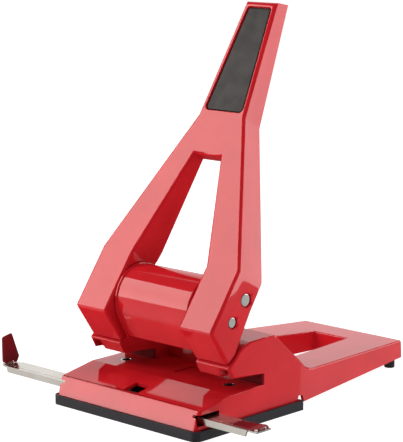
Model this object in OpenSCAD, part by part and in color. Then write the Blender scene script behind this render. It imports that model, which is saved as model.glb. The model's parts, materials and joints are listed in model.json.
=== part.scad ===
// Heavy-duty two-hole punch with a long lever, a sliding paper rail and a drop-down chip tray.
// X is the width, Y runs from the front to the rear and Z is up, in millimetres.
// The origin lies on the ground, midway between the two punches.

/* [Punching] */
// Distance between the two holes
hole_spacing = 80; // [79:0.5:81]
// Diameter of a punched hole
punch_d = 5.5; // [5:0.1:6]
// Distance from the hole centres to the paper edge
paper_margin = 11.8; // [11:0.1:12.5]
// Height of the punch tips at rest
punch_tip_z = 28.9; // [28.8:0.1:29.2]
// Travel of the punches
punch_stroke = 13.2; // [12:0.1:13.4]

/* [Base] */
// Width of the base over its side walls
base_w = 108.6; // [107.6:0.2:109]
// Wall thickness of the red base shell
base_wall = 1.8; // [1.4:0.1:2]
// Height of the paper table
table_z = 20.5; // [20.2:0.1:20.8]
// Width of the bay between the two punch towers
bay_w = 59; // [58:0.5:60]

/* [Chip tray] */
// Width of the tray
tray_w = 112.5; // [112.4:0.1:114]
// Height of the tray rim
tray_h = 5.5; // [5:0.1:6]
// Corner radius of the tray
tray_corner = 4; // [3:0.5:6]

/* [Lever] */
// Width of the lever over its legs
lever_w = 105.4; // [104.8:0.2:106]
// Wall thickness of the lever
lever_wall = 2; // [1.6:0.1:2.2]
// Lean of the lever towards the rear, from upright
lever_lean = 30; // [29:0.5:31]
// Radius of the pivot axle
pivot_r = 3; // [2.6:0.1:3.2]
// Radius of the pusher axle
pusher_r = 3.6; // [3.2:0.1:3.8]

/* [Paper rail] */
// Position of the hinge of the left paper stop
left_stop_x = -106.6; // [-109:0.2:-105]
// Position of the hinge of the right paper stop
right_stop_x = 91.9; // [89:0.1:94]
// Height of the rail's top face
rail_z = 12; // [11.6:0.1:12.2]
// Length of a paper stop over its hinge axis
stop_h = 17.5; // [16:0.1:19]
// Outward lean of the raised stop
stop_lean = 2; // [0:1:6]

/* [Hidden] */
$fn = 64;

red = [0.72, 0.05, 0.08];
dark_red = [0.36, 0.05, 0.08];
nickel = [0.82, 0.79, 0.74];
steel = [0.62, 0.62, 0.64];
bronze = [0.70, 0.55, 0.30];
black = [0.10, 0.10, 0.11];

// A cut runs past the face that it opens by this much
over = 1;
// Radial clearance of a running fit
run = 0.05;
half_spacing = hole_spacing / 2;

// Base: side outline's key heights and places
base_bottom = 2;
front_y = -41.6;
rear_y = 158.2;
crease_y = 44.3;
deck_bottom = 5;
foot_h = 6.2;
throat_rear = paper_margin + 1.2;
throat_roof = 26.9;
bay_rear = 24;
rear_half_w = 38.2;
ridge = [23.7, 46];
slope_foot = [49.6, 23.4];
foot_at = [33.3, 152.6];
rear_low_front = 3.8;
rear_low_back = 6.2;

// Lever: pivot and pusher axes, side outline in the lever's own frame
pivot_y = -11;
pivot_z = 59.1;
pusher_at = [3.83, 14.57];
lever_front_low = [-13.2, -11.5];
lever_front_kink = [-9.6, 26.2];
lever_front_neck = [-10.3, 112.5];
lever_front_top = [-12.3, 184];
lever_rear_top = [-2.2, 187.6];
leg_inner = 28.5;

// Bracket: the two plates stand beside each punch
plate_in = 6.2;
plate_out = 8.2;
guide_low_z = 30.2;
guide_high_z = 41.8;
guide_t = 2;
guide_bush_r = 4.2;
rivet_at = [3.4, 7.6];
punch_head_r = 5.4;
punch_head_z = 61.8;
roller_r = 5.2;
punch_head_top = 64.4;

// Rail: cross-section
rail_near = -36.7;
rail_far = -23.7;
rail_low = 8.4;
rail_t = 0.9;
rail_left = -103.9;
rail_right = 86.5;
stop_axis_z = rail_z + 0.65;
stop_pin_r = 0.3;
stop_t = 0.8;
stop_foot = 0.4;
lug_r = 0.8;

// Tray: hinge
tray_front = -43.4;
tray_rear = 44.8;
tray_wall = 1.4;
tray_floor = 1.5;
tray_pin_y = 41;
tray_pin_z = 4.4;
tray_pin_r = 1.2;

// Unit vector square to the edge from a to b, on its left
function left_of(a, b) = let (d = b - a) [-d.y, d.x] / norm(d);

// Corner p between its neighbours a and c, moved to the left of both edges by t
function inner_corner(a, p, c, t) =
    let (m = left_of(a, p), n = left_of(p, c))
    p + t * (m + n) / (1 + m * n);

// Anticlockwise outline moved inwards by t
function inset(outline, t) =
    let (n = len(outline))
    [for (i = [0 : n - 1]) inner_corner(outline[(i + n - 1) % n], outline[i], outline[(i + 1) % n], t)];

// Right half of an outline with its mirror image, anticlockwise
function both_sides(half) =
    concat(half, [for (i = [len(half) - 1 : -1 : 0]) [-half[i].x, half[i].y]]);

// Y-Z outline drawn out along X, centred
module across(width) {
    rotate([90, 0, 90])
        linear_extrude(height = width, center = true)
            children();
}

// X-Z outline drawn out along Y, centred
module along(depth) {
    rotate([90, 0, 0])
        linear_extrude(height = depth, center = true)
            children();
}

module both() {
    for (s = [-1, 1])
        scale_side(s)
            children();
}

module scale_side(s) {
    mirror([s < 0 ? 1 : 0, 0, 0])
        children();
}

// Cylinder along X between two places
module rod_x(x0, x1, r) {
    translate([x0, 0, 0])
        rotate([0, 90, 0])
            cylinder(h = x1 - x0, r = r);
}

// Cylinder along Y between two places
module rod_y(y0, y1, r) {
    translate([0, y1, 0])
        rotate([90, 0, 0])
            cylinder(h = y1 - y0, r = r);
}

module box(low, high) {
    translate(low)
        cube(high - low);
}

module ring(outer, inner, h) {
    difference() {
        cylinder(h = h, r = outer);
        translate([0, 0, -over])
            cylinder(h = h + 2 * over, r = inner);
    }
}

// ---- Base ----

// Height of the slope behind the towers
function slope_z(y) =
    ridge.y - (y - ridge.x) * (ridge.y - slope_foot.y) / (slope_foot.x - ridge.x);

// Side outline of the base: table, rear wall of the bay, slope and rear deck
function base_side(bottom) = [
    [front_y, bottom], [rear_y, bottom], [156.9, 16.8], [58, 21.1], [53.5, 21.8], slope_foot,
    [bay_rear, slope_z(bay_rear)], [bay_rear, table_z], [-14.5, table_z], [-38.4, 16.1],
    [front_y, tray_h]
];

// Side outline of a tower over its throat, drawn out by e to the rear and downwards
function tower_side(e) = [
    [throat_rear, table_z - e], [bay_rear + e, table_z - e], [bay_rear + e, slope_z(bay_rear + e)],
    ridge, [20.8, 47.3], [1.1, 46.5], [-2.9, 45], [-6.5, 43.2], [-10.5, 39], [-15.6, 34.7],
    [-12.2, 28.3], [throat_rear, throat_roof]
];

function base_plan() = both_sides([[base_w / 2, front_y - over], [base_w / 2, crease_y],
    [rear_half_w, rear_y + over]]);

module base_block(bottom, t) {
    intersection() {
        across(base_w + 2 * over)
            polygon(inset(base_side(bottom), t));
        translate([0, 0, -20])
            linear_extrude(height = 100)
                polygon(inset(base_plan(), t));
    }
}

// Opening in the rear deck, grown by t
deck_hole = both_sides([[27.7, 56], [13.2, 136.5]]);
module deck_opening(t) {
    translate([0, 0, deck_bottom - over])
        linear_extrude(height = 40)
            polygon(inset(deck_hole, -t));
}

module at_feet() {
    both()
        translate([foot_at.x, foot_at.y, 0])
            children();
}

// Openings of one side of the base
module side_cuts() {
    // Seat of the die bush
    translate([half_spacing, 0, table_z - 5])
        cylinder(h = 8, r = bush_top_r);
    // Passage of the paper rail
    box([50, -39.6, 7.6], [60, -23.3, 13.7]);
    // Gap that the tray's rear corner swings through, and the hole of its hinge pin
    translate([55, 0, 0])
        across(10)
            polygon([[42.2, -over], [47.3, -over], [47.3, 4.6], [46.2, 7.4], [44.8, 8.3],
                [42.4, 8.3], [41.7, 6.7], [43.1, 5.4], [43.1, 3], [42.2, 2.2]]);
    translate([0, tray_pin_y, tray_pin_z])
        rod_x(50, 60, tray_pin_r);
}

module base_shell() {
    color(red)
        difference() {
            base_block(base_bottom, 0);
            difference() {
                base_block(-15, base_wall);
                deck_opening(base_wall);
                // Round posts under the deck carry the rear feet
                at_feet()
                    translate([0, 0, foot_h])
                        cylinder(h = 20, r = 4.2);
            }
            deck_opening(0);
            // Window over the rail, and the pressed centre mark behind it
            box([-5.5, -36.7, 10], [5.5, -26.3, 24]);
            translate([0, 0, table_z - 0.4])
                cylinder(h = 2, r = 1.4);
            box([-1.4, 0, table_z - 0.4], [1.4, 16, table_z + 1.6]);
            both()
                side_cuts();
            // The rear part ends higher than the front, and rises to the rear
            across(base_w + 10)
                polygon([[crease_y + 3, -over], [rear_y + 5, -over], [rear_y + 5, rear_low_back],
                    [crease_y + 3, rear_low_front]]);
            // Holes for the stems of the rear feet
            at_feet()
                cylinder(h = 11, r = 2);
        }
}

module tower_cuts() {
    // Room for the bracket and for the punch's spring through the top
    box([half_spacing - plate_out - 0.5, -11.2, 36], [half_spacing + plate_out + 0.5, -0.6, 60]);
    translate([half_spacing, 0, 36])
        cylinder(h = 24, r = 5.2);
    // Punch hole in the throat's roof
    translate([half_spacing, 0, 24])
        cylinder(h = 8, r = 3.2);
    // Bracket rivet holes
    for (s = [-1, 1])
        translate([half_spacing + s * rivet_at.x, rivet_at.y, 24])
            cylinder(h = 8, r = 1.5);
}

// Slanted gap at the outer end of the front lip, with its cheek drawn w wide
module lip_gap(w) {
    translate([0, -14, 0])
        along(12.4)
            polygon([[44.6, 26], [44.6 + w, 26], [44.6 + w, 33.4], [46.5, 33.4]]);
}

module lip_cheek() {
    translate([0, -12, 0])
        along(6)
            polygon([[43, 27.5], [44.6, 27.5], [46.5, 33.4], [44.9, 33.4]]);
}

// Housing of one punch: closed in front and on its sides, open where it stands on the base
module tower() {
    inner_x = bay_w / 2;
    outer_x = base_w / 2;
    color(red)
        difference() {
            translate([(inner_x + outer_x) / 2, 0, 0])
                across(outer_x - inner_x)
                    polygon(tower_side(0));
            difference() {
                translate([(inner_x + outer_x) / 2, 0, 0])
                    across(outer_x - inner_x - 2 * base_wall)
                        polygon(inset(tower_side(4), base_wall));
                lip_cheek();
            }
            lip_gap(outer_x - base_wall - 44.6);
            tower_cuts();
        }
}

module tower_left() {
    scale_side(-1)
        tower();
}

module tower_right() {
    tower();
}

// Ribbed plate at the back of each throat
module throat_plates() {
    color(dark_red)
        both()
            difference() {
                box([bay_w / 2 + 0.3, paper_margin, table_z + 0.05],
                    [base_w / 2 - 0.4, throat_rear, throat_roof - 0.05]);
                for (z = [table_z + 0.9 : 1 : throat_roof - 0.5])
                    box([20, paper_margin - over, z], [60, paper_margin + 0.3, z + 0.4]);
            }
}

// ---- Punch units ----

module bracket_plate() {
    across(plate_out - plate_in)
        difference() {
            union() {
                polygon([[-8.5, guide_low_z], [9.5, guide_low_z], [9.5, 43.7], [-1.2, 43.7],
                    [-1.2, 48.5], [-5.2, 57], [-5, 59.1], [-17, 59.1], [-15.5, 53], [-8.5, 43]]);
                translate([pivot_y, pivot_z])
                    circle(r = 6);
            }
            translate([pivot_y, pivot_z])
                circle(r = pivot_r + run);
        }
}

module guide_plate(z, y0) {
    difference() {
        box([-plate_out, y0, z], [plate_out, 9.5, z + guide_t]);
        translate([0, 0, z - over])
            cylinder(h = guide_t + 2 * over, r = guide_bush_r);
    }
}

// Steel bracket: guides the punch and carries the lever's pivot
module punch_bracket() {
    color(steel)
        translate([half_spacing, 0, 0])
            difference() {
                union() {
                    for (s = [-1, 1])
                        translate([s * (plate_in + plate_out) / 2, 0, 0])
                            bracket_plate();
                    guide_plate(guide_low_z, -8.5);
                    guide_plate(guide_high_z, -7);
                }
                for (s = [-1, 1])
                    translate([s * rivet_at.x, rivet_at.y, guide_low_z - over])
                        cylinder(h = guide_t + 2 * over, r = 1.5);
            }
}

module punch_bracket_left() {
    scale_side(-1)
        punch_bracket();
}

module punch_bracket_right() {
    punch_bracket();
}

// Shouldered rivets between each bracket and the throat's roof
module bracket_rivets() {
    color(steel)
        both()
            for (s = [-1, 1])
                translate([half_spacing + s * rivet_at.x, rivet_at.y, 0]) {
                    translate([0, 0, 27.3])
                        cylinder(h = 5.2, r = 1.5);
                    translate([0, 0, 29.2])
                        cylinder(h = guide_low_z - 29.2, r = 2.4);
                    translate([0, 0, guide_low_z + guide_t])
                        cylinder(h = 1.2, r = 2.4);
                }
}

// Plain bearings of the punches
module guide_bushes() {
    color(bronze)
        both()
            for (z = [guide_low_z, guide_high_z])
                translate([half_spacing, 0, z])
                    ring(guide_bush_r, punch_d / 2 + run, guide_t);
}

module punch() {
    color(steel)
        translate([half_spacing, 0, 0])
            difference() {
                union() {
                    translate([0, 0, punch_tip_z])
                        cylinder(h = punch_head_z - punch_tip_z + 0.5, r = punch_d / 2);
                    translate([0, 0, punch_head_z])
                        cylinder(h = punch_head_top - punch_head_z, r = punch_head_r);
                }
                // V-shaped shear cut across the tip
                translate([0, 0, punch_tip_z])
                    along(20)
                        polygon([[-4, -1], [4, -1], [0, 1.6]]);
            }
}

module punch_left() {
    scale_side(-1)
        punch();
}

module punch_right() {
    punch();
}

// Tube of radius wire along a helix of radius r, from z0 to z1
module coil(r, wire, z0, z1, turns) {
    sides = 8;
    steps = round(turns * 20);
    rings = [for (i = [0 : steps])
        let (a = 360 * turns * i / steps, z = z0 + wire + (z1 - z0 - 2 * wire) * i / steps)
        for (j = [0 : sides - 1])
            let (b = 360 * j / sides, q = r + wire * cos(b))
            [q * cos(a), q * sin(a), z + wire * sin(b)]];
    sleeve = [for (i = [0 : steps - 1], j = [0 : sides - 1])
        let (k = (j + 1) % sides, a = i * sides, b = a + sides)
        [a + j, b + j, b + k, a + k]];
    low_end = [for (j = [0 : sides - 1]) j];
    high_end = [for (j = [sides - 1 : -1 : 0]) steps * sides + j];
    polyhedron(points = rings, faces = concat(sleeve, [low_end], [high_end]));
}

module punch_spring() {
    color(steel)
        translate([half_spacing, 0, 0])
            coil(4.1, 0.4, guide_high_z + guide_t, punch_head_z, 4.5);
}

module punch_spring_left() {
    translate([-hole_spacing, 0, 0])
        punch_spring();
}

module punch_spring_right() {
    punch_spring();
}

// ---- Dies under the table ----

die_top = table_z - base_wall - 0.1;
die_low = die_top - 4;
bush_r = 5;
bush_top_r = 3.4;

module die_plate() {
    color(steel)
        difference() {
            box([-50, -10, die_low], [50, 10, die_top]);
            both() {
                translate([half_spacing, 0, die_low - over])
                    cylinder(h = 8, r = bush_r);
                for (y = [-6, 6])
                    translate([22, y, die_low - over])
                        cylinder(h = 8, r = 1.5);
            }
        }
}

// Hardened bushes, wide in the die plate and narrow through the table
module die_bushes() {
    color(nickel)
        both()
            translate([half_spacing, 0, die_low])
                difference() {
                    union() {
                        cylinder(h = die_top - die_low, r = bush_r);
                        cylinder(h = table_z - die_low, r = bush_top_r);
                    }
                    translate([0, 0, -over])
                        cylinder(h = 10, r = punch_d / 2 + run);
                }
}

module die_screws() {
    color(steel)
        both()
            for (y = [-6, 6])
                translate([22, y, 0]) {
                    translate([0, 0, die_low])
                        cylinder(h = 4, r = 1.5);
                    difference() {
                        translate([0, 0, die_low - 2])
                            cylinder(h = 2, r = 2.8);
                        box([-3, -0.4, die_low - 3], [3, 0.4, die_low - 1]);
                    }
                }
}

// ---- Lever ----

// The lever's own frame: origin on the pivot, Z up the arm, Y towards its open back
module lever_frame() {
    translate([0, pivot_y, pivot_z])
        rotate([-lever_lean, 0, 0])
            children();
}

// Outer side outline
lever_side = [
    lever_front_low, [7, -21.9], [8, -21], [10.4, -14.6], [10.15, 10.8], [11.3, 28.5],
    [4.5, 115.5], lever_rear_top, lever_front_top, lever_front_neck, lever_front_kink
];
// The same front and ends, open to the rear
lever_hollow = [
    lever_front_low, [30, -33.8], [30, 199.1], lever_front_top, lever_front_neck, lever_front_kink
];
// Outline seen square to the front face, and the gap between the legs
lever_outline = both_sides([[lever_w / 2, -60], [lever_w / 2, 27], [17.2, 113.5], [10.4, 195]]);
leg_gap = both_sides([[leg_inner, -70], [leg_inner, 26], [10.2, 89.3]]);

module lever_block(side, t) {
    intersection() {
        across(lever_w + 2 * over)
            polygon(inset(side, t));
        along(100)
            difference() {
                polygon(inset(lever_outline, t));
                polygon(inset(leg_gap, -t));
            }
    }
}

// Thicker floor under the inlay, and ribs across the back of the arm
module lever_ribs() {
    translate([0, lever_front_neck.x + 2.2, 148])
        rotate([1.6, 0, 0])
            cube([40, 3, 76], center = true);
    for (v = [96, 126, 158])
        box([-30, -12, v], [30, 1, v + 1.8]);
}

inlay_low = [14, 116.3];
inlay_high = [8.8, 180.7];

// Rounded tapering outline of the inlay, grown by t
module inlay_outline(t) {
    low_r = 2.6;
    high_r = 1.8;
    low = inlay_low + [-low_r, low_r];
    high = inlay_high - [high_r, high_r];
    hull()
        for (s = [-1, 1]) {
            translate([s * low.x, low.y])
                circle(r = low_r + t, $fn = 32);
            translate([s * high.x, high.y])
                circle(r = high_r + t, $fn = 32);
        }
}

// Plate that follows the grip's face, from depth d0 to depth d1 under it
module grip_plate(t, d0, d1) {
    translate([0, lever_front_neck.x, lever_front_neck.y])
        rotate([1.6, 0, 0])
            translate([0, (d0 + d1) / 2, -lever_front_neck.y])
                along(d1 - d0)
                    inlay_outline(t);
}

// Room behind the walls beside the gap, which grow shallower towards its top
module gap_relief() {
    intersection() {
        along(100)
            polygon(inset(leg_gap, -lever_wall - 0.3));
        across(2 * leg_inner + 10)
            polygon([[12.1, 28.2], [30, 28.2], [30, 100], [-1.1, 100], [-1.1, 89.6]]);
    }
}

module lever_bore(at, r) {
    translate([0, at.x, at.y]) {
        rod_x(-60, 60, r);
        both()
            rod_x(lever_w / 2 - 0.9, 60, r + 0.7);
    }
}

module lever_shell() {
    color(red)
        lever_frame()
            difference() {
                lever_block(lever_side, 0);
                difference() {
                    lever_block(lever_hollow, lever_wall);
                    lever_ribs();
                }
                gap_relief();
                grip_plate(0.25, -3, 1.8);
                lever_bore([0, 0], pivot_r);
                lever_bore(pusher_at, pusher_r);
            }
}

module grip_inlay() {
    color(black)
        lever_frame()
            grip_plate(0, 0.6, 1.8);
}

cover_y = -1;
cover_z = 59.8;
cover_r = 19.2;
cover_t = 2;
cover_rear = 14.5;
cover_low = 39;
// Direction from the centre to the point where the round front meets the flat chin
chin_angle = 208.3;

// Side view of the barrel-shaped cover, moved in by t
module cover_section(t) {
    r = cover_r - t;
    out = [cos(chin_angle), sin(chin_angle)];
    down = [-sin(chin_angle), cos(chin_angle)];
    translate([cover_y, cover_z]) {
        difference() {
            circle(r = r, $fn = 96);
            translate([0, -60])
                square(60);
        }
        polygon([[0, 0], r * out, r * out + 22 * down, [0, (r * out + 22 * down).y]]);
    }
}

// Barrel-shaped cover over the two axles, between the legs
module pivot_cover() {
    color(red)
        intersection() {
            across(2 * leg_inner)
                difference() {
                    cover_section(0);
                    cover_section(cover_t);
                }
            box([-40, -30, cover_low], [40, cover_rear, 90]);
        }
}

module axle(at, r) {
    color(nickel)
        lever_frame()
            translate([0, at.x, at.y])
                rod_x(-lever_w / 2 + 0.5, lever_w / 2 - 0.5, r);
}

module pivot_axle() {
    axle([0, 0], pivot_r);
}

module pusher_axle() {
    axle(pusher_at, pusher_r);
}

// Retaining rings on the axles
module axle_clips() {
    color(steel)
        lever_frame()
            both() {
                clip([0, 0], pivot_r, 48.7);
                clip(pusher_at, pusher_r, 46.6);
            }
}

module clip(at, r, x) {
    translate([x, at.x, at.y])
        rotate([0, 90, 0])
            ring(r + 1.8, r, 0.9);
}

// Rollers that press on the punch heads
module pusher_rollers() {
    color(steel)
        lever_frame()
            both()
                translate([half_spacing - 5.5, pusher_at.x, pusher_at.y])
                    rotate([0, 90, 0])
                        ring(roller_r, pusher_r, 11);
}

// ---- Paper rail ----

// Places of the two lugs and of the knuckle between them
lug_near = [-36.2, -35.4];
lug_far = [-29.6, -28.8];
knuckle = [-35.2, -29.8];

module rail_lugs(x) {
    for (y = [lug_near, lug_far])
        translate([x, 0, stop_axis_z])
            difference() {
                union() {
                    rod_y(y[0], y[1], lug_r);
                    box([-lug_r, y[0], rail_z - rail_t - stop_axis_z], [lug_r, y[1], 0]);
                }
                rod_y(y[0] - over, y[1] + over, stop_pin_r);
            }
}

module guide_rail() {
    color(nickel)
        difference() {
            union() {
                // Channel with slanted ends
                intersection() {
                    along(100)
                        polygon([[rail_left + 1.2, rail_low], [rail_right - 1.4, rail_low],
                            [rail_right, rail_z], [rail_left, rail_z]]);
                    difference() {
                        box([-150, rail_near, rail_low], [150, rail_far, rail_z]);
                        box([-160, rail_near + rail_t, 0], [160, rail_far - rail_t, rail_z - rail_t]);
                    }
                }
                // Tongues that carry the stops
                box([left_stop_x - lug_r, rail_near + 0.5, rail_z - rail_t],
                    [right_stop_x + lug_r, rail_far - 1.4, rail_z]);
                rail_lugs(left_stop_x);
                rail_lugs(right_stop_x);
            }
            // Groove beside the rounded front edge
            box([rail_left - 5, rail_near + 2.5, rail_z - 0.3], [rail_right + 2, rail_near + 2.9, rail_z + 1]);
            // Detent notches in the front flange
            for (x = [-30, 0, 30])
                box([x, rail_near - over, 0], [x + 2, rail_near + rail_t + 0.2, rail_low + 0.6]);
        }
}

module stop_pins() {
    color(nickel)
        for (x = [left_stop_x, right_stop_x])
            translate([x, 0, stop_axis_z])
                rod_y(lug_near[0] - 0.2, lug_far[1] + 0.1, stop_pin_r);
}

// Paper stop, upright on its hinge, facing -X
module paper_stop() {
    color(dark_red)
        difference() {
            union() {
                across(stop_t)
                    polygon([[knuckle[0], -stop_foot], [-26.4, -stop_foot], [-25.6, 0.6], [-24.4, 3],
                        [-29.2, stop_h - 0.5], [-29.9, stop_h], [-35.4, stop_h - 1.1],
                        [-36.7, stop_h - 2], [-36.9, 1.8], [-36.4, 1], [knuckle[0], 1]]);
                rod_y(knuckle[0], knuckle[1], stop_axis_z - rail_z - 0.05);
            }
            rod_y(-45, lug_far[1], stop_pin_r + run);
            // Slot round the far lug
            box([-5, lug_far[0] - 0.15, -5], [5, lug_far[1] + 0.15, 1]);
        }
}

module stop_left() {
    translate([left_stop_x, 0, stop_axis_z])
        rotate([0, -stop_lean, 0])
            paper_stop();
}

module stop_right() {
    translate([right_stop_x, 0, stop_axis_z])
        rotate([0, -90, 0])
            mirror([1, 0, 0])
                paper_stop();
}

// Plastic blocks that the rail slides on
module rail_guides() {
    color(black)
        both() {
            box([18, -38.2, 3], [34, -21.4, 8.2]);
            box([18, -23.3, 8.2], [34, -21.4, 16.8]);
        }
}

// Leaf spring that clicks into the rail
module rail_detent() {
    color(steel)
        translate([0, -30.2, 0])
            along(5.6)
                polygon([[-24, 8.2], [-13, 8.2], [-4, 10.2], [4, 10.2], [13, 8.2], [24, 8.2],
                    [24, 8.7], [13, 8.7], [4, 10.7], [-4, 10.7], [-13, 8.7], [-24, 8.7]]);
}

// ---- Chip tray and feet ----

// Block with round corners, front_r in front and rear_r at the rear
module rounded_block(low, high, front_r, rear_r) {
    box([low.x + front_r, low.y, low.z], [high.x - front_r, high.y - rear_r, high.z]);
    box([low.x, low.y + front_r, low.z], [high.x, high.y - rear_r, high.z]);
    box([low.x + rear_r, low.y + front_r, low.z], [high.x - rear_r, high.y, high.z]);
    for (s = [-1, 1], c = [[low.y + front_r, front_r], [high.y - rear_r, rear_r]])
        translate([s * (high.x - c[1]), c[0], low.z])
            cylinder(h = high.z - low.z, r = c[1]);
}

module chip_tray() {
    inner = tray_w / 2 - tray_wall;
    color(black)
        difference() {
            union() {
                difference() {
                    rounded_block([-tray_w / 2, tray_front, 0], [tray_w / 2, tray_rear, tray_h],
                        tray_corner, 1);
                    rounded_block([-inner, tray_front + tray_wall, tray_floor],
                        [inner, tray_rear - tray_wall, tray_h + over], 1, 0.5);
                }
                both()
                    box([49.2, 37.8, tray_floor - 0.2], [52, 43, tray_pin_z + 2]);
            }
            both()
                translate([0, tray_pin_y, tray_pin_z])
                    rod_x(48, 53, tray_pin_r + run);
        }
}

module tray_pins() {
    color(steel)
        both()
            translate([0, tray_pin_y, tray_pin_z])
                rod_x(49, base_w / 2 - 0.1, tray_pin_r);
}

module rear_feet() {
    color(black)
        at_feet() {
            cylinder(h = foot_h, r = 3.2);
            cylinder(h = 10.5, r = 2);
        }
}

base_shell();
tower_left();
tower_right();
throat_plates();
punch_bracket_left();
punch_bracket_right();
bracket_rivets();
guide_bushes();
die_plate();
die_bushes();
die_screws();
punch_left();
punch_right();
punch_spring_left();
punch_spring_right();
lever_shell();
pivot_cover();
grip_inlay();
pivot_axle();
pusher_axle();
axle_clips();
pusher_rollers();
guide_rail();
stop_pins();
rail_guides();
rail_detent();
stop_left();
stop_right();
chip_tray();
tray_pins();
rear_feet();
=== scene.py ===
import json
import math

import bmesh
import bpy
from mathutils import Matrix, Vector

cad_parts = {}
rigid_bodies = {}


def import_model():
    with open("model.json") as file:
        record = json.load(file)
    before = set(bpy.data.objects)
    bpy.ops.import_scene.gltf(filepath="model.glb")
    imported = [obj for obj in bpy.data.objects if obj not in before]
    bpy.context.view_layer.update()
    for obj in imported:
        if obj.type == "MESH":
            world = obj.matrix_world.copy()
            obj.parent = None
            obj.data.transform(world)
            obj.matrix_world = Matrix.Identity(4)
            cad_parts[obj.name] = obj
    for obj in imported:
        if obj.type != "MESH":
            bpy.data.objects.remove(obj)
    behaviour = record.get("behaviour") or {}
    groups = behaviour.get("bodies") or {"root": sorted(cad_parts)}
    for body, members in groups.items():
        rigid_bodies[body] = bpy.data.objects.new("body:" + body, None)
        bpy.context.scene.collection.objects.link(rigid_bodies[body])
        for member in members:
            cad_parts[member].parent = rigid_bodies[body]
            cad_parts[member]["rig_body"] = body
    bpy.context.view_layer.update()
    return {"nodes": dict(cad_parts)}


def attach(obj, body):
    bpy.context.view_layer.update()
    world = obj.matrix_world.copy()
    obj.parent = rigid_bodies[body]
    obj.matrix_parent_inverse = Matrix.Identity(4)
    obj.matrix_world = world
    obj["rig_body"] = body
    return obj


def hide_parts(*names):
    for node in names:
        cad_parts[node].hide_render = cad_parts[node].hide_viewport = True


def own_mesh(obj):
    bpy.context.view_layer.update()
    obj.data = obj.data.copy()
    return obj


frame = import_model()
MM = 0.001

# ---- Camera ----

CAMERA_AZIMUTH = math.radians(43.35)
CAMERA_ELEVATION = math.radians(10.28)
CAMERA_PLACE = (0.7039, -0.7252, 0.2900)
CAMERA_REACH = 50.0
SENSOR = 36.0
FOCAL = 150.74


def make_camera():
    """Long lens, a little above the table, from the front right."""
    data = bpy.data.cameras.new("camera")
    data.sensor_width = SENSOR
    data.lens = FOCAL
    data.clip_end = CAMERA_REACH
    camera = bpy.data.objects.new("camera", data)
    bpy.context.scene.collection.objects.link(camera)
    camera.location = CAMERA_PLACE
    back = Vector((
        math.sin(CAMERA_AZIMUTH) * math.cos(CAMERA_ELEVATION),
        -math.cos(CAMERA_AZIMUTH) * math.cos(CAMERA_ELEVATION),
        math.sin(CAMERA_ELEVATION),
    ))
    camera.rotation_euler = (-back).to_track_quat("-Z", "Y").to_euler()
    bpy.context.scene.camera = camera


# ---- Materials ----

RAMP_START, RAMP_END = 0.35, 0.65
ORANGE_PEEL = 0.000006
METAL_GRAIN = 0.00001


class Nodes:
    """A material's node tree, with short calls for what the materials here need."""

    def __init__(self, name):
        self.material = bpy.data.materials.new(name)
        self.material.use_nodes = True
        self.tree = self.material.node_tree
        self.shader = self.tree.nodes["Principled BSDF"]

    def node(self, kind, **values):
        made = self.tree.nodes.new(kind)
        for key, value in values.items():
            made.inputs[key.replace("_", " ")].default_value = value
        return made

    def link(self, out, into):
        self.tree.links.new(out, into)

    def set(self, **values):
        for key, value in values.items():
            self.shader.inputs[key.replace("_", " ")].default_value = value

    def place(self, stretch):
        """Object coordinates, stretched."""
        coords = self.tree.nodes.new("ShaderNodeTexCoord")
        mapping = self.node("ShaderNodeMapping", Scale=stretch)
        self.link(coords.outputs["Object"], mapping.inputs["Vector"])
        return mapping.outputs["Vector"]

    def noise(self, scale, detail, stretch=(1, 1, 1)):
        texture = self.node("ShaderNodeTexNoise", Scale=scale, Detail=detail)
        self.link(self.place(stretch), texture.inputs["Vector"])
        return texture.outputs["Fac"]

    def ramp(self, fac, low, high):
        """Colour or grey value that goes from low to high with fac."""
        ramp = self.tree.nodes.new("ShaderNodeValToRGB")
        stops = zip(ramp.color_ramp.elements, (RAMP_START, RAMP_END), (low, high))
        for element, place, value in stops:
            element.position = place
            element.color = (*value, 1) if isinstance(value, tuple) else (value, value, value, 1)
        self.link(fac, ramp.inputs["Fac"])
        return ramp.outputs["Color"]

    def bump(self, height, distance, strength):
        bump = self.node("ShaderNodeBump", Strength=strength, Distance=distance)
        self.link(height, bump.inputs["Height"])
        self.link(bump.outputs["Normal"], self.shader.inputs["Normal"])


def painted(name, dark, light, gloss, coat):
    """Gloss paint on metal: slight colour drift and orange peel under a clear top coat."""
    mat = Nodes(name)
    mat.set(Coat_Weight=coat, Coat_Roughness=0.06, Coat_IOR=1.5, Specular_IOR_Level=0.0)
    drift = mat.noise(scale=45, detail=3)
    mat.link(mat.ramp(drift, dark, light), mat.shader.inputs["Base Color"])
    haze = mat.noise(scale=160, detail=4)
    mat.link(mat.ramp(haze, gloss - 0.04, gloss + 0.05), mat.shader.inputs["Roughness"])
    mat.bump(mat.noise(scale=900, detail=2), distance=ORANGE_PEEL, strength=0.6)
    return mat.material


def metal(name, dark, light, rough, stretch):
    """Bare or plated metal with a fine drawn grain."""
    mat = Nodes(name)
    mat.set(Metallic=1.0)
    grain = mat.noise(scale=900, detail=3, stretch=stretch)
    drift = mat.noise(scale=60, detail=2)
    mat.link(mat.ramp(drift, dark, light), mat.shader.inputs["Base Color"])
    mat.link(mat.ramp(grain, rough - 0.05, rough + 0.07), mat.shader.inputs["Roughness"])
    mat.bump(grain, distance=METAL_GRAIN, strength=0.6)
    return mat.material


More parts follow.
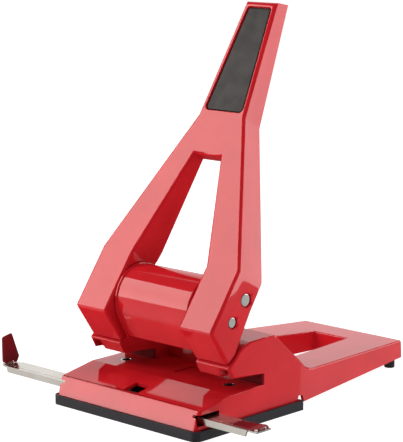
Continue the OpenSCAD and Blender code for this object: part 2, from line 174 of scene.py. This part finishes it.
def plastic(name, dark, light, rough, grain_scale, grain_depth, shine=0.2):
    """Moulded plastic with an eroded, slightly matt skin."""
    mat = Nodes(name)
    mat.set(Specular_IOR_Level=shine)
    grain = mat.noise(scale=grain_scale, detail=4)
    mat.link(mat.ramp(grain, dark, light), mat.shader.inputs["Base Color"])
    haze = mat.noise(scale=120, detail=3)
    mat.link(mat.ramp(haze, rough - 0.05, rough + 0.06), mat.shader.inputs["Roughness"])
    mat.bump(grain, distance=grain_depth, strength=0.7)
    return mat.material


RED = painted("red_paint", (0.52, 0.010, 0.016), (0.58, 0.013, 0.020), gloss=0.35, coat=0.75)
DARK_RED = painted("dark_red_paint", (0.14, 0.010, 0.014), (0.17, 0.013, 0.017), gloss=0.34, coat=0.8)
RIBBED_RED = painted("ribbed_red", (0.15, 0.008, 0.012), (0.19, 0.011, 0.015), gloss=0.5, coat=0.05)
NICKEL = metal("nickel", (0.50, 0.465, 0.42), (0.56, 0.525, 0.475), 0.20, stretch=(0.05, 1, 1))
STEEL = metal("steel", (0.50, 0.50, 0.51), (0.60, 0.60, 0.61), 0.32, stretch=(1, 1, 0.08))
TURNED = metal("turned_steel", (0.68, 0.67, 0.64), (0.78, 0.77, 0.74), 0.16, stretch=(1, 1, 1))
BRONZE = metal("bronze", (0.50, 0.33, 0.15), (0.60, 0.42, 0.20), 0.38, stretch=(1, 1, 1))
BLACK = plastic(
    "black_plastic", (0.018, 0.017, 0.020), (0.028, 0.026, 0.030), 0.5,
    grain_scale=1600, grain_depth=0.00003,
)
INLAY = plastic(
    "inlay_plastic", (0.020, 0.019, 0.018), (0.026, 0.024, 0.022), 0.30,
    grain_scale=900, grain_depth=0.000003, shine=0.12,
)
RUBBER = plastic(
    "rubber", (0.016, 0.016, 0.016), (0.024, 0.024, 0.024), 0.75,
    grain_scale=1200, grain_depth=0.00004,
)

NODE_MATERIAL = {
    "base_shell": RED, "tower_left": RED, "tower_right": RED, "lever_shell": RED,
    "pivot_cover": RED, "throat_plates": RIBBED_RED, "stop_left": DARK_RED, "stop_right": DARK_RED,
    "punch_bracket_left": STEEL, "punch_bracket_right": STEEL, "bracket_rivets": TURNED,
    "guide_bushes": BRONZE, "die_plate": STEEL, "die_bushes": TURNED, "die_screws": TURNED,
    "punch_left": TURNED, "punch_right": TURNED, "punch_spring_left": TURNED,
    "punch_spring_right": TURNED, "grip_inlay": INLAY, "pivot_axle": TURNED,
    "pusher_axle": TURNED, "axle_clips": STEEL, "pusher_rollers": TURNED,
    "guide_rail": NICKEL, "stop_pins": NICKEL, "rail_guides": BLACK, "rail_detent": STEEL,
    "chip_tray": BLACK, "tray_pins": TURNED, "rear_feet": RUBBER,
}

for node, obj in frame["nodes"].items():
    obj.data.materials.clear()
    obj.data.materials.append(NODE_MATERIAL[node])

# ---- Mesh tools: lengths are in millimetres, angles in degrees ----

WELD = 0.002
FLAT_WITHIN = 0.5
SHARP_FROM = 24
QUAD = 4
# Cosines from which a face looks a given way, and an edge runs along an axis
SAME_WAY = 0.97
MOSTLY_ALONG = 0.9


def merged_flat(mesh):
    """Welds a bmesh and merges its triangles back into flat faces."""
    bmesh.ops.remove_doubles(mesh, verts=mesh.verts, dist=WELD * MM)
    bmesh.ops.dissolve_limit(
        mesh, angle_limit=math.radians(FLAT_WITHIN), verts=mesh.verts, edges=mesh.edges
    )
    return mesh


def node_mesh(node):
    """A CAD node's mesh as a bmesh with flat faces."""
    mesh = bmesh.new()
    mesh.from_mesh(frame["nodes"][node].data)
    return merged_flat(mesh)


def joined(nodes):
    """One closed skin over CAD nodes that touch face to face."""
    parts = []
    for node in nodes:
        data = frame["nodes"][node].data.copy()
        part = bpy.data.objects.new(node + "_part", data)
        bpy.context.scene.collection.objects.link(part)
        parts.append(part)
    skin = parts[0]
    for other in parts[1:]:
        union = skin.modifiers.new("union", "BOOLEAN")
        union.operation = "UNION"
        union.solver = "EXACT"
        union.object = other
        apply_modifiers(skin)
    mesh = bmesh.new()
    mesh.from_mesh(skin.data)
    for part in parts:
        bpy.data.objects.remove(part)
    return merged_flat(mesh)


def apply_modifiers(piece):
    """Bakes a piece's modifiers into its mesh."""
    graph = bpy.context.evaluated_depsgraph_get()
    baked = bpy.data.meshes.new_from_object(piece.evaluated_get(graph))
    piece.modifiers.clear()
    old = piece.data
    piece.data = baked
    bpy.data.meshes.remove(old)


def finish_piece(mesh, name, nodes, smooth_angle=35, split_first=False):
    """Turns a bmesh into a piece that stands for its CAD nodes.

    Faces with more than four corners are split into triangles after the shading is set, or
    before it with split_first.
    """
    data = bpy.data.meshes.new(name)
    if split_first:
        bmesh.ops.triangulate(mesh, faces=[face for face in mesh.faces if len(face.verts) > QUAD])
    mesh.to_mesh(data)
    mesh.free()
    piece = bpy.data.objects.new(name, data)
    bpy.context.scene.collection.objects.link(piece)
    data.materials.clear()
    data.materials.append(NODE_MATERIAL[nodes[0]])
    data.shade_smooth()
    data.set_sharp_from_angle(angle=math.radians(smooth_angle))
    even = piece.modifiers.new("even", "WEIGHTED_NORMAL")
    even.keep_sharp = True
    even.weight = 100
    split = piece.modifiers.new("split", "TRIANGULATE")
    split.min_vertices = QUAD + 1
    split.keep_custom_normals = True
    apply_modifiers(piece)
    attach(piece, frame["nodes"][nodes[0]]["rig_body"])
    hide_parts(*nodes)
    return piece


def round_edges(mesh, wanted, radius, segments, clamp=True):
    """Rounds the sharp edges that wanted(edge, angle) picks; hollow edges have angles below 0."""
    edges = []
    for edge in mesh.edges:
        if len(edge.link_faces) != 2:
            continue
        angle = math.degrees(edge.calc_face_angle_signed(0.0))
        if abs(angle) >= SHARP_FROM and wanted(edge, angle):
            edges.append(edge)
    bmesh.ops.bevel(
        mesh, geom=edges, offset=radius * MM, offset_type="OFFSET", segments=segments,
        profile=0.5, affect="EDGES", clamp_overlap=clamp, miter_outer="SHARP", miter_inner="SHARP",
        loop_slide=True,
    )


def middle_of(edge):
    """Middle of an edge in millimetres."""
    return (edge.verts[0].co + edge.verts[1].co) / 2 / MM


def along(edge, axis):
    """Share of an edge's direction that runs along X, Y or Z (0, 1 or 2)."""
    return abs((edge.verts[1].co - edge.verts[0].co).normalized()[axis])


def faces(edge, way):
    """Whether a face at the edge looks the given way."""
    return any(face.normal.dot(way) > SAME_WAY for face in edge.link_faces)


def every_edge(edge, angle):
    """Picks all sharp edges."""
    return True


# ---- Base ----

BASE_BOTTOM = 2.0
# Limits between which the edges of each part of the base lie
CORNER_X, CORNER_Y = 50, -38
SIDE_X, SIDE_Z = 53.5, 13.9
DECK_X, DECK_Y = 35, 45
HOLE_X, HOLE_FRONT, HOLE_REAR, HOLE_Z = 30, 54, 140, 12
FRONT_Y, FRONT_Z = -37, 15
HIGH_Z, LONG_EDGE = 26, 4
LEANING_UP, UPRIGHT = 0.6, 0.95


def make_base():
    """Base and towers as one skin, with wide rounds along the outer sides."""
    nodes = ["base_shell", "tower_left", "tower_right"]
    mesh = joined(nodes)

    def front_corner(edge, angle):
        x, y, z = middle_of(edge)
        return angle > 0 and abs(x) > CORNER_X and y < CORNER_Y and along(edge, 2) > LEANING_UP

    def upper_side(edge, angle):
        x, y, z = middle_of(edge)
        on_side = abs(x) > SIDE_X or (y > DECK_Y and abs(x) > DECK_X)
        return angle > 0 and on_side and z > SIDE_Z and along(edge, 2) < UPRIGHT

    def front_top(edge, angle):
        x, y, z = middle_of(edge)
        return angle > 0 and along(edge, 0) > MOSTLY_ALONG and y < FRONT_Y and z > FRONT_Z

    def deck_hole(edge, angle):
        x, y, z = middle_of(edge)
        return angle > 0 and abs(x) < HOLE_X and HOLE_FRONT < y < HOLE_REAR and z > HOLE_Z

    def high(edge, angle):
        return middle_of(edge).z > HIGH_Z and edge.calc_length() > LONG_EDGE * MM

    round_edges(mesh, deck_hole, radius=0.9, segments=3, clamp=False)
    round_edges(mesh, front_corner, radius=2.0, segments=5, clamp=False)
    # The rounds run a little past the rim at the foot of the corners
    for vert in mesh.verts:
        vert.co.z = max(vert.co.z, BASE_BOTTOM * MM)
    round_edges(mesh, upper_side, radius=1.3, segments=4, clamp=False)
    round_edges(mesh, front_top, radius=1.0, segments=4, clamp=False)
    round_edges(mesh, high, radius=0.3, segments=2, clamp=False)
    finish_piece(mesh, "base_skin", nodes, smooth_angle=15, split_first=True)


# ---- Lever ----

# The arm leans back by 30 degrees from upright at the pivot axle
PIVOT_Y, PIVOT_Z = -11.0, 59.1
LEAN_COS, LEAN_SIN = 0.8660254, 0.5
LEVER_FRONT = Vector((0, -0.8660, 0.5))
LEVER_CHIN = Vector((0, -0.84, -0.54))
INLAY_FRONT = Vector((0, -0.88, 0.48))

# Half width of the legs, of the fork that tapers above them, and of the grip above the fork
LEG_HALF, FORK_START, FORK_TAPER = 52.7, 27, 0.4104
GRIP_HALF, GRIP_START, GRIP_TAPER = 17.2, 113.5, 0.0834
GRIP_TOP = 183
GAP_HALF, GAP_TOP = 29.5, 91
RECESS_HALF, RECESS_LOW, RECESS_HIGH = 14.5, 115, 181.2
SIDE_WITHIN = 1.0
# Short edges at the chin and at the knee, where the side and front outlines bend
KINK = 1.5
CHIN_TOP = -20
KNEE_LOW, KNEE_HIGH, KNEE_FRONT = 25, 28, -9


def in_lever(point):
    """Lever coordinates of a place: x, out of the open back, and up the arm from the pivot."""
    y, z = point.y - PIVOT_Y, point.z - PIVOT_Z
    return point.x, y * LEAN_COS - z * LEAN_SIN, y * LEAN_SIN + z * LEAN_COS


def lever_half(v):
    """Half width of the lever at v up the arm."""
    if v < FORK_START:
        return LEG_HALF
    if v < GRIP_START:
        return LEG_HALF - (v - FORK_START) * FORK_TAPER
    return GRIP_HALF - (v - GRIP_START) * GRIP_TAPER


def make_lever():
    """Forked lever with wide rounds down its corners."""
    mesh = node_mesh("lever_shell")

    def at_kink(edge):
        x, w, v = in_lever(middle_of(edge))
        return v < CHIN_TOP or KNEE_LOW < v < KNEE_HIGH and w < KNEE_FRONT

    # Kinks of the side and front outlines that nearly meet become one corner each
    short = [edge for edge in mesh.edges if edge.calc_length() < KINK * MM and at_kink(edge)]
    bmesh.ops.collapse(mesh, edges=short)

    def at_front(edge):
        return faces(edge, LEVER_FRONT) or faces(edge, LEVER_CHIN)

    def outer(edge, angle):
        x, w, v = in_lever(middle_of(edge))
        side = abs(abs(x) - lever_half(v)) < SIDE_WITHIN and at_front(edge)
        level = faces(edge, LEVER_FRONT) and along(edge, 0) > MOSTLY_ALONG
        end = level and (v < 0 or v > GRIP_TOP)
        return angle > 0 and (side or end)

    def front_edge(edge, angle):
        x, w, v = in_lever(middle_of(edge))
        gap = abs(x) < GAP_HALF and v < GAP_TOP and at_front(edge)
        return angle > 0 and gap or outer(edge, angle)

    def recess(edge, angle):
        x, w, v = in_lever(middle_of(edge))
        inside = abs(x) < RECESS_HALF and RECESS_LOW < v < RECESS_HIGH
        return angle > 0 and inside and faces(edge, LEVER_FRONT)

    round_edges(mesh, front_edge, radius=1.7, segments=5, clamp=False)
    round_edges(mesh, recess, radius=0.5, segments=3, clamp=False)
    finish_piece(mesh, "lever_skin", ["lever_shell"])


def make_inlay():
    """Grip inlay whose face rolls off towards its rim."""
    mesh = node_mesh("grip_inlay")

    def rim(edge, angle):
        return faces(edge, INLAY_FRONT)

    round_edges(mesh, rim, radius=1.1, segments=5, clamp=False)
    finish_piece(mesh, "grip_inlay_skin", ["grip_inlay"], smooth_angle=50)


# ---- Pivot cover ----

BARREL_Y, BARREL_Z, BARREL_RADIUS = -1.0, 59.8, 19.0
# A bead goes round the barrel in steps, and then straight down its rear
BEAD_TURNS = [40 + 4 * step for step in range(42)] + [208.3]
BEAD_DROP = 15.0
BEAD_X, BEAD_HALF, BEAD_HEIGHT, BEAD_CORNERS = 27.3, 0.9, 1.0, 10


def bead_path():
    """Places in Y and Z on the barrel, each with the direction out of it."""
    path = []
    for turn in map(math.radians, BEAD_TURNS):
        y = BARREL_Y + BARREL_RADIUS * math.cos(turn)
        z = BARREL_Z + BARREL_RADIUS * math.sin(turn)
        path.append((y, z, turn))
    path.append((y - BEAD_DROP * math.sin(turn), z + BEAD_DROP * math.cos(turn), turn))
    return path


def add_bead(mesh, side):
    """Closed bead of oval section at the left (-1) or right (1) end of the barrel."""
    rings = []
    for y, z, turn in bead_path():
        ring = []
        for corner in range(BEAD_CORNERS):
            around = math.radians(360 / BEAD_CORNERS * corner)
            out = BEAD_HEIGHT * math.sin(around)
            ring.append(mesh.verts.new(Vector((
                side * (BEAD_X + BEAD_HALF * math.cos(around)),
                y + out * math.cos(turn),
                z + out * math.sin(turn),
            )) * MM))
        rings.append(ring)
    for low, high in zip(rings, rings[1:]):
        for i in range(BEAD_CORNERS):
            j = (i + 1) % BEAD_CORNERS
            face = (low[i], high[i], high[j], low[j])
            mesh.faces.new(face if side > 0 else face[::-1])
    mesh.faces.new(rings[0] if side > 0 else rings[0][::-1])
    mesh.faces.new(rings[-1][::-1] if side > 0 else rings[-1])


def make_cover():
    """Barrel-shaped cover with a rolled bead round each end."""
    mesh = node_mesh("pivot_cover")
    round_edges(mesh, every_edge, radius=0.5, segments=3)
    for side in (-1, 1):
        add_bead(mesh, side)
    bmesh.ops.recalc_face_normals(mesh, faces=mesh.faces)
    finish_piece(mesh, "cover_skin", ["pivot_cover"])


# ---- Springs and small pieces ----


def make_spring(side):
    """Coil spring, as a piece with a mesh of its own."""
    node = "punch_spring_" + side
    mesh = bmesh.new()
    mesh.from_mesh(frame["nodes"][node].data)
    piece = finish_piece(mesh, node + "_coil", [node], smooth_angle=60)
    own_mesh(piece)


def make_small(node, radius, segments=2):
    """A node with one small round on all its sharp edges."""
    mesh = node_mesh(node)
    round_edges(mesh, every_edge, radius, segments)
    finish_piece(mesh, node + "_skin", [node])


make_base()
make_lever()
for side in ("left", "right"):
    make_spring(side)
make_small("chip_tray", radius=0.6, segments=3)
make_cover()
make_small("guide_rail", radius=0.3)
make_small("stop_left", radius=0.18)
make_small("stop_right", radius=0.18)
make_small("rear_feet", radius=0.5, segments=3)
make_small("throat_plates", radius=0.08)
for node in ("pivot_axle", "pusher_axle"):
    make_small(node, radius=0.5, segments=3)
make_inlay()
for node in ("punch_bracket_left", "punch_bracket_right", "die_plate", "rail_guides"):
    make_small(node, radius=0.25)
for node in ("rail_detent", "axle_clips", "die_bushes", "die_screws", "bracket_rivets"):
    make_small(node, radius=0.1)

# ---- Studio ----

FLOOR_SIZE = 24
FLOOR_GLOW = 0.93

# Pale patches of the surroundings, for reflections: a wall at the rear left, and the table top
# in front and behind. Each has a direction, the cosines where it starts and is full, and its
# brightness outside and inside.
WORLD_PATCHES = [
    ((-0.66, 0.66, 0.45), 0.86, 0.94, 0.08, 1.15),
    ((-0.70, -0.67, -0.24), 0.78, 1.00, 0.00, 0.95),
    ((0.37, 0.89, -0.25), 0.89, 0.99, 0.00, 0.80),
]


def softbox(name, place, aim, size, radiance, colour=(1, 1, 1)):
    """Area light whose face is radiance times as bright as white paper at exposure 1."""
    data = bpy.data.lights.new(name, "AREA")
    data.color = colour
    data.shape = "RECTANGLE"
    data.size, data.size_y = size
    data.energy = radiance * math.pi * size[0] * size[1]
    lamp = bpy.data.objects.new(name, data)
    bpy.context.scene.collection.objects.link(lamp)
    lamp.location = place
    lamp.rotation_euler = (Vector(aim) - Vector(place)).to_track_quat("-Z", "Y").to_euler()
    return lamp


def make_world():
    """Dim room with pale patches."""
    world = bpy.data.worlds.new("studio")
    bpy.context.scene.world = world
    world.use_nodes = True
    tree = world.node_tree
    coords = tree.nodes.new("ShaderNodeTexCoord")
    total = None
    for direction, *levels in WORLD_PATCHES:
        dot = tree.nodes.new("ShaderNodeVectorMath")
        dot.operation = "DOT_PRODUCT"
        dot.inputs[1].default_value = Vector(direction).normalized()
        tree.links.new(coords.outputs["Generated"], dot.inputs[0])
        level = tree.nodes.new("ShaderNodeMapRange")
        level.interpolation_type = "SMOOTHSTEP"
        for name, value in zip(("From Min", "From Max", "To Min", "To Max"), levels):
            level.inputs[name].default_value = value
        tree.links.new(dot.outputs["Value"], level.inputs["Value"])
        if total is None:
            total = level.outputs["Result"]
            continue
        both = tree.nodes.new("ShaderNodeMath")
        tree.links.new(total, both.inputs[0])
        tree.links.new(level.outputs["Result"], both.inputs[1])
        total = both.outputs[0]
    tree.links.new(total, tree.nodes["Background"].inputs["Strength"])
    tree.nodes["Background"].inputs["Color"].default_value = (1, 1, 1, 1)


def make_floor():
    """Pale floor that glows a little, so that it blends into the background."""
    bpy.ops.mesh.primitive_plane_add(size=FLOOR_SIZE, location=(0, 0, 0))
    floor = bpy.context.active_object
    floor.name = "floor"
    mat = Nodes("pale_floor")
    mat.set(
        Roughness=0.9, Specular_IOR_Level=0.0,
        Emission_Color=(1, 1, 1, 1), Emission_Strength=FLOOR_GLOW,
    )
    tint = mat.ramp(mat.noise(scale=3, detail=2), (0.38, 0.38, 0.38), (0.40, 0.40, 0.40))
    mat.link(tint, mat.shader.inputs["Base Color"])
    floor.data.materials.append(mat.material)
    floor.visible_glossy = False


def make_studio():
    """Pale floor, a large soft light at the left, one overhead, two behind, one at the right."""
    make_floor()
    make_world()
    softbox(
        "key", place=(-1.00, -0.84, 0.64), aim=(0, 0, 0.10), size=(0.95, 1.12), radiance=5.5,
        colour=(1, 0.94, 0.91),
    )
    softbox("top", place=(-0.10, 0.10, 1.60), aim=(0, 0.05, 0.10), size=(0.9, 0.7), radiance=3.6)
    softbox("rim", place=(0.30, 1.15, 1.10), aim=(0, 0, 0.05), size=(0.9, 0.35), radiance=4.5)
    softbox("rear", place=(0.80, 1.60, 0.36), aim=(0, 0, 0.12), size=(1.4, 0.70), radiance=3.4)
    side = softbox(
        "side", place=(1.30, 0.20, 0.55), aim=(0, 0.05, 0.08), size=(0.9, 0.7), radiance=2.6
    )
    side.visible_glossy = False


bpy.context.scene.view_settings.view_transform = "Standard"
make_camera()
make_studio()
